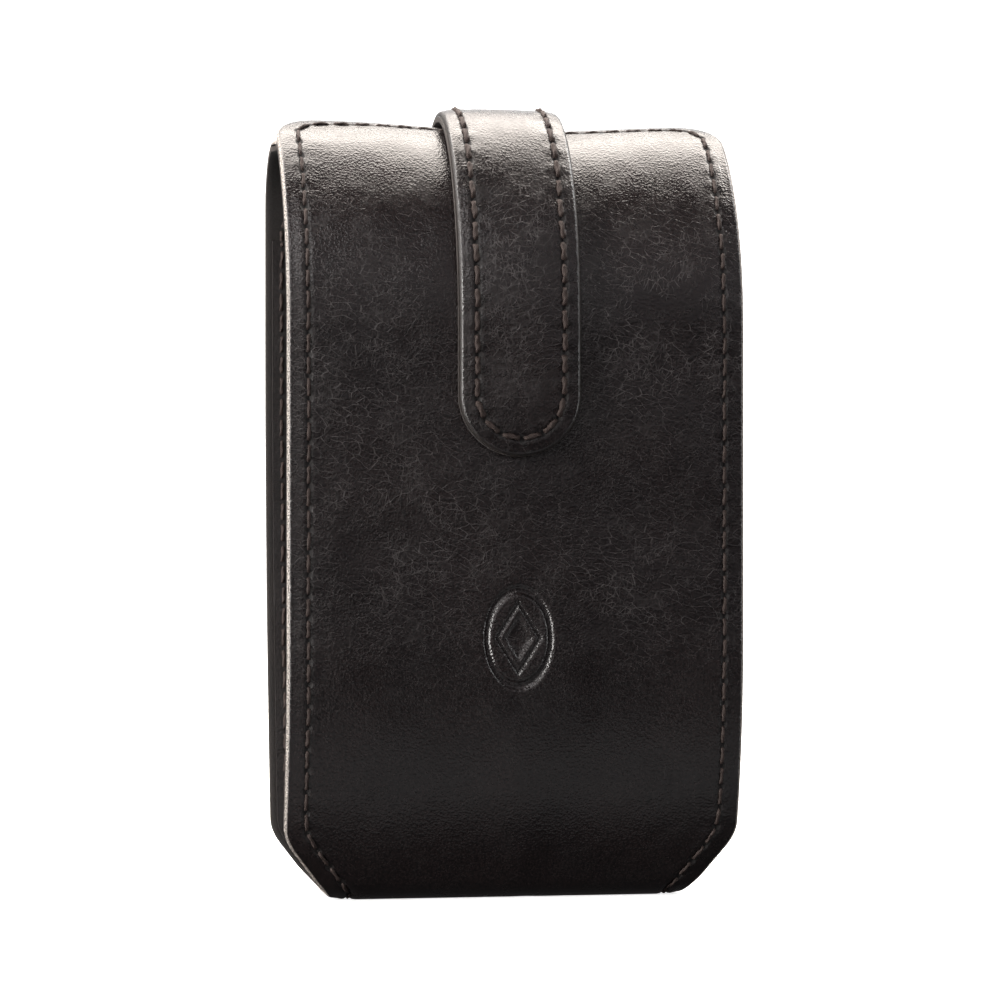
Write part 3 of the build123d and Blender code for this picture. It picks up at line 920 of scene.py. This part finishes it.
def make_panel(name, path, look, columns, row_step, seeds, hills, worn_places, dip, fold):
    """A panel and its lip: leather, lining and border stitches.

    seeds are those of the relief and of the stitches. dip is how much deeper the stitches lie
    along the lip's own edge.
    """
    is_front = path is FRONT
    ends, corners = (0.0, path.length), (0, LIP_CORNER_R)
    holes = holes_along(seam_route(path, wrap_half_width, SEAM_INSET, ends, corners))
    fine_rows = MOTIF_ROWS if is_front else None
    sheet = Sheet(path, wrap_half_width, WRAP_LEVELS, columns, row_step, ends, corners, fine_rows)
    height, sunk = wrap_relief(sheet, holes, seeds[0], hills)
    under = -lip_sag(sheet.s, sheet.x, path) - LEATHER
    worn = wear(sheet, worn_places)
    leather = leather_solid(f"{name}_leather", sheet, height, sunk, worn, under, look, is_front)

    plain = Sheet(path, wrap_half_width, LINING_LEVELS, middle_columns(2.4), 1.6, ends, corners)
    drop = lip_sag(plain.s, plain.x, path)
    near = bell(plain.edge, 0, 0.25)
    high, low = -LEATHER - 0.03 - drop - 0.1 * near, -LAMINATE - drop + 0.25 * near
    lining = lining_layer(f"{name}_lining", plain, high, low, near, is_front)

    def level(s, x):
        sunk = 0.2 + 0.45 * (1 - off_base(s)) + lip_sag(s, x, path)
        return -sunk - dip * smooth(s, path.length - 6, path.length - 4.4)

    thread = stitches(f"{name}_stitches", path, holes, level, seeds[1])
    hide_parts("outer_wrap", f"{name}_lip_leather")
    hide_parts("wrap_lining", f"{name}_lip_lining")
    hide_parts("left_seam_thread", "right_seam_thread", f"{name}_lip_thread")
    blend_all([leather, lining, thread], "case", f"{name}_lip", *fold)


# ---- gussets


def inner_faces(z):
    """Y of the inside of the front and of the back laminate at height z."""
    found = []
    for path in (FRONT, BACK):
        _, y, height = lay(path, np.linspace(0, path.length, 900), 0.0, -LAMINATE).T
        rising = slice(0, int(np.argmax(height)) + 1)
        found.append(np.interp(z, height[rising], y[rising]))
    return found


def gusset_section(z):
    """The middle line of one gusset at height z, from the front border to the back one.

    Two flanges lie on the borders and the wall between them is folded in, in a soft bow.
    """
    front, back = inner_faces(z)
    half = GUSSET_LEATHER / 2
    front, back = front + half + 0.05, back - half - 0.05
    edge = float(wrap_half_width(FLANGE_INSET, z))
    fold = float(wrap_half_width(FOLD_INSET, z))
    depth = back - front
    bow = min(GUSSET_BOW, depth * 0.16) * float(smooth(z, 6, 40))
    radius = min(GUSSET_BEND_R, depth * 0.22)
    flange = np.linspace(edge, fold + radius * 0.2, 9)
    turn = np.radians(np.linspace(0, 90, 8))[1:]
    corner_x = flange[-1] - radius * np.sin(turn)
    corner_y = radius * (1 - np.cos(turn))
    t = np.linspace(0, 1, 26)[1:-1]
    wall_x = corner_x[-1] - bow * np.sin(math.pi * t) ** 0.8
    wall_y = front + radius + (depth - 2 * radius) * t
    x = np.concatenate([flange, corner_x, wall_x, corner_x[::-1], flange[::-1]])
    level = np.zeros(len(flange))
    y = np.concatenate([level + front, front + corner_y, wall_y, back - corner_y[::-1], level + back])
    return np.stack([x, y, np.full(len(x), z)], -1)


def gusset_centre(side, heights):
    """The middle surface of a gusset at some heights, with soft waves in its wall."""
    rows = []
    for z in heights:
        rows.append(gusset_section(min(z, GUSSET_TOP)))
        rows[-1][:, 2] = z
    centre = np.array(rows)
    inner = bell(np.linspace(-1, 1, centre.shape[1]), 0, 0.42)
    wave = ripple(np.minimum(centre[..., 2], GUSSET_TOP), centre[..., 1], 41 + side, 30)
    centre[..., 0] = (centre[..., 0] + 0.55 * wave * inner) * side
    return centre


def thick_strip(name, centre, thickness, side):
    """A solid round a grid of middle points, half of its thickness to either side of them."""
    normal = np.cross(np.gradient(centre, axis=0), np.gradient(centre, axis=1))
    normal /= np.linalg.norm(normal, axis=-1)[..., None]
    half = normal * np.broadcast_to(thickness, centre.shape[:2])[..., None] / 2
    u, v = (
        np.cumsum(np.linalg.norm(np.diff(centre, axis=axis, prepend=first), axis=-1), axis=axis)
        for axis, first in ((1, centre[:, :1]), (0, centre[:1]))
    )
    flat = np.stack([u, v, np.zeros_like(u)], -1)
    one, zero = np.ones_like(u), np.zeros_like(u)
    attributes = {
        "flat": [flat + (0, 0, 0.4 * n) for n in range(4)],
        "edge": [zero, one * 0.6, one * 0.6, zero],
        "sunk": [zero] * 4,
        "worn": [one * 0.4] * 4,
    }
    layers = [centre + half * share for share in (1, 0.3, -0.3, -1)]
    return solid_from_grids(name, layers, attributes, gusset_look, side > 0)


def make_gusset(side, name):
    """One soft side wall, its foot and the hem on its top edge."""
    floor = LAMINATE + GUSSET_LEATHER / 2 + 0.1
    heights = np.concatenate([np.linspace(floor, 16, 16)[:-1], np.linspace(16, GUSSET_TOP, 96)])
    wall = gusset_centre(side, heights)

    # the foot: the gusset's edge turned out along the bottom of the wrap
    lowest = GUSSET_LEATHER / 2 + LAMINATE + 0.05
    inset = np.linspace(FLANGE_INSET, 7.5, 12)
    foot = []
    for s in np.linspace(-11.5, 12.5, 49):
        path = FRONT if s < 0 else BACK
        along = np.full(len(inset), abs(s))
        foot.append(lay(path, along, wrap_half_width(inset, path.at(along)[1]) * side, -lowest))

    # the hem: the top edge folded over, without the flanges
    hem = gusset_centre(side, np.linspace(GUSSET_TOP - 5.0, GUSSET_TOP + 0.5, 10))[:, 11:-11]
    swell = np.array([1.0, 1.0, 0.98, 1.0, 1.02, 1.0, 1.0, 0.96, 0.82, 0.45])[:, None]

    for piece, part, centre, thickness in (
        ("gusset_wall", "gusset", wall, GUSSET_LEATHER),
        ("gusset_foot", "gusset", np.array(foot), GUSSET_LEATHER),
        ("hem", "gusset_hem", hem, 2.3 * swell),
    ):
        made = thick_strip(f"{name}_{piece}", centre, thickness, side)
        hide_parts(f"{name}_{part}")
        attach(made, "case")


def make_inner_stitches(name, path, seed, fold):
    """The border seam's inner thread: on the gusset flanges, and a little way up the lining."""
    ends = (0.0, path.s_at_height(GUSSET_TOP + 5.0))
    holes = holes_along(seam_route(path, wrap_half_width, INNER_SEAM_INSET, ends, (0, 0)))
    holes = holes[holes[:, 0] > 13]
    right_side = int(np.argmax(holes[:, 1] > 0))
    rise = path.s_at_height(GUSSET_TOP - 1.0)

    def level(s, x):
        return -LAMINATE - (GUSSET_LEATHER + 0.1) * (1 - smooth(s, rise, rise + 1.5))

    made = stitches(f"{name}_inner_stitches", path, holes, level, seed, (right_side - 1,), -1)
    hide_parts("left_seam_thread", "right_seam_thread")
    blend_all([made], "case", f"{name}_lip", *fold)


# ---- the strap

STRAP_CREST = STRAP.s_at_height(STRAP_CREST_RISE + FRONT_TOP_Z - 0.002)
STRAP_CORNERS = (7.4, STRAP_HALF - 0.02)
STRAP_HOLES = holes_along(
    seam_route(STRAP, strap_half_width, STRAP_SEAM_INSET, (0.0, STRAP.length), STRAP_CORNERS), True
)


def make_strap_length(name, ends, corners, holes, parts, lining_nodes, *joint):
    """One length of the strap, over two of its CAD parts: leather, lining and stitches."""
    start, stop = ends
    trimmed = (start + STRAP_STEP * (corners[0] > 0), stop - STRAP_STEP * (corners[1] > 0))
    rounded = tuple(max(r - STRAP_STEP, 0) for r in corners)
    middle = np.zeros(1)
    sheet = Sheet(STRAP, strap_leather_half_width, STRAP_LEVELS, middle, 0.5, trimmed, rounded)
    height, sunk = strap_relief(sheet, STRAP_HOLES)
    worn = 0.25 + 0.75 * bell(STRAP.at(sheet.s)[1], 122, 22) * bell(sheet.x, 0, 8)
    leather = leather_solid(
        f"strap_{name}_leather", sheet, height, sunk, worn, STRAP_SPLIT, strap_look, False, 0.3
    )

    pad = Sheet(STRAP, strap_half_width, STRAP_LINING_LEVELS, middle, 1.2, ends, corners)
    near = bell(pad.edge, 0, 0.25)
    on_back = 1 - smooth(pad.s, STRAP.s_at_height(131), STRAP.s_at_height(134))
    high, low = STRAP_SPLIT - 0.03 - 0.08 * near, STRAP_BOTTOM - 0.27 * on_back + 0.15 * near
    lining = lining_layer(f"strap_{name}_lining", pad, high, low, near, False)

    def level(s, x):
        return STRAP_TOP - 0.16

    thread = stitches(f"strap_{name}_stitches", STRAP, holes, level, 61, thread_r=STRAP_THREAD_R)
    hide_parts(*(f"{part}_leather" for part in parts))
    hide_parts(*lining_nodes)
    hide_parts(*(f"{part}_thread" for part in parts))
    blend_all([leather, lining, thread], *joint)


# ---- hidden pieces that stay as CAD


def finish_hidden_nodes():
    """The boards and magnets inside the layers keep their CAD shape."""
    for name in ("front_board", "back_board", "front_magnet", "strap_magnet"):
        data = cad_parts[name].data
        data.materials.clear()
        data.materials.append(magnet_look if name.endswith("magnet") else board_look)


# ---- stage, lights and camera


def make_stage():
    """A plain pale floor that sweeps up into a wall all the way round, in metres."""
    made, tree, sockets = new_material("studio_paper")
    speck = noise(node(tree, "TexCoord", {})["Object"], 0.02, 2.0)["Fac"]
    looks = {
        "Base Color": mix(speck, (0.90, 0.90, 0.895, 1), (0.93, 0.93, 0.925, 1)),
        "Roughness": 0.9,
        "Specular IOR Level": 0.1,
        "Emission Color": (1.0, 1.0, 1.0, 1),
        "Emission Strength": 0.8,
    }
    fill(tree, sockets, looks)
    flat, bend, top, around = 1.6, 0.7, 3.4, 96
    profile = [(0.05, 0.0), (flat / 2, 0.0), (flat, 0.0)]
    for angle in np.radians(np.linspace(0, 90, 19))[1:]:
        profile.append((flat + bend * math.sin(angle), bend - bend * math.cos(angle)))
    profile.append((flat + bend, top))
    turn = np.linspace(0, 2 * math.pi, around, endpoint=False)
    points = [(r * math.cos(a), r * math.sin(a), z) for r, z in profile for a in turn]
    faces = [tuple(range(around))]
    for ring in range(len(profile) - 1):
        for n in range(around):
            low, beside = ring * around + n, ring * around + (n + 1) % around
            faces.append((low, low + around, beside + around, beside))
    mesh = bpy.data.meshes.new("floor")
    mesh.from_pydata(points, [], faces)
    mesh.shade_smooth()
    mesh.materials.append(made)
    floor = add_object("floor", mesh)
    floor.visible_glossy = False
    floor.visible_diffuse = False


def softbox(name, place, target, size, power, colour=(1, 1, 1)):
    """A rectangular studio light aimed at a point, in metres and watts."""
    light = bpy.data.lights.new(name, "AREA")
    light.shape = "RECTANGLE"
    light.size, light.size_y = size
    light.energy = power
    light.color = colour
    made = add_object(name, light)
    made.location = place
    made.visible_camera = False
    made.rotation_euler = (Vector(target) - Vector(place)).to_track_quat("-Z", "Y").to_euler()


def make_lights():
    """One large box overhead, strips at the sides, and dim boxes for the front and the back."""
    case, behind = (0.0, 0.0, 0.08), (0.0, 1.9, 0.6)
    for light in (
        ("overhead", (0.0, 0.28, 0.74), (0.0, 0.28, 0.0), (1.3, 0.58), 24.0, (1.0, 0.925, 0.855)),
        ("left_strip", (-0.70, -0.24, 0.16), case, (0.22, 0.7), 9.5, (1.0, 0.97, 0.94)),
        ("left_front", (-0.46, -1.5, 0.45), case, (0.7, 1.2), 2.2, (1.0, 0.96, 0.94)),
        ("right_strip", (0.80, -0.16, 0.18), case, (0.2, 0.7), 1.6),
        ("front_wall", (0.78, -1.5, 0.85), case, (1.1, 1.3), 1.9, (1.0, 0.93, 0.96)),
        ("front_fill", (-0.5, -0.9, 0.9), case, (0.5, 0.5), 3.2, (1.0, 0.95, 0.95)),
        ("floor_glow", (0.0, -0.075, 0.0005), (0.0, -0.075, 1.0), (0.3, 0.075), 0.021),
        ("back_wall", (0.2, 1.3, 0.6), case, (1.4, 0.9), 6.0),
        ("backdrop_left", (-1.3, 0.5, 1.2), behind, (0.8, 0.8), 30.0),
        ("backdrop_right", (1.3, 0.5, 1.2), behind, (0.8, 0.8), 30.0),
    ):
        softbox(*light)
    world = bpy.data.worlds.new("studio")
    world.use_nodes = True
    glow = world.node_tree.nodes["Background"].inputs
    fill(world.node_tree, glow, {"Color": (1.0, 0.95, 0.97, 1), "Strength": 0.055})
    bpy.context.scene.world = world


def make_camera():
    """Level with the middle of the case, ten degrees round to its left; distances in millimetres."""
    turn = math.radians(10)
    distance, aside, middle = 723.0, 3.6, 77.45
    data = bpy.data.cameras.new("camera")
    data.lens, data.sensor_width = 135.8, 36.0
    data.clip_start, data.clip_end = 0.01, 20
    made = add_object("camera", data)
    made.location = (
        (-aside * math.cos(turn) - distance * math.sin(turn)) * MM,
        (FRONT_Y + aside * math.sin(turn) - distance * math.cos(turn)) * MM,
        middle * MM,
    )
    made.rotation_euler = (math.radians(90), 0, -turn)
    bpy.context.scene.camera = made


make_camera()

# finer columns across the mark in the middle of the front
columns = middle_columns(1.6, 7.2, 0.3)
make_panel("front", FRONT, front_look, columns, 0.6, (3, 31), 0.045, FRONT_WEAR, 0.16, FRONT_FOLD)
columns = middle_columns(1.5)
make_panel("back", BACK, back_look, columns, 0.525, (13, 37), 0.04, BACK_WEAR, 0.0, BACK_FOLD)
make_gusset(-1, "left")
make_gusset(1, "right")
make_inner_stitches("front", FRONT, 51, FRONT_FOLD)
make_inner_stitches("back", BACK, 53, BACK_FOLD)

# the rear length's row starts at its right upper end, so that it runs without a gap
rear_holes = STRAP_HOLES[STRAP_HOLES[:, 0] <= STRAP_CREST + 4.6]
first = int(np.argmax(np.diff(rear_holes[:, 1]) > 12)) + 1
make_strap_length(
    "rear",
    (0.0, STRAP_CREST),
    (STRAP_CORNERS[0], 0),
    np.roll(rear_holes, -first, 0),
    ("strap_anchor", "strap_bridge"),
    ("strap_anchor_lining", "strap_bridge_lining"),
    *("case", "strap_bridge", (0, 23.4, 121), (0, 22.8, 146)),
)
make_strap_length(
    "front",
    (STRAP_CREST, STRAP.length),
    (0, STRAP_CORNERS[1]),
    STRAP_HOLES[STRAP_HOLES[:, 0] > STRAP_CREST + 0.4],
    ("strap_bridge", "strap_tongue"),
    ("closure_pad", "strap_bridge_lining"),
    *("strap_bridge", "strap_tongue", (0, -20.8, 124), (0, -21.9, 107)),
)

finish_hidden_nodes()
make_stage()
make_lights()
bpy.context.scene.view_settings.view_transform = "Standard"
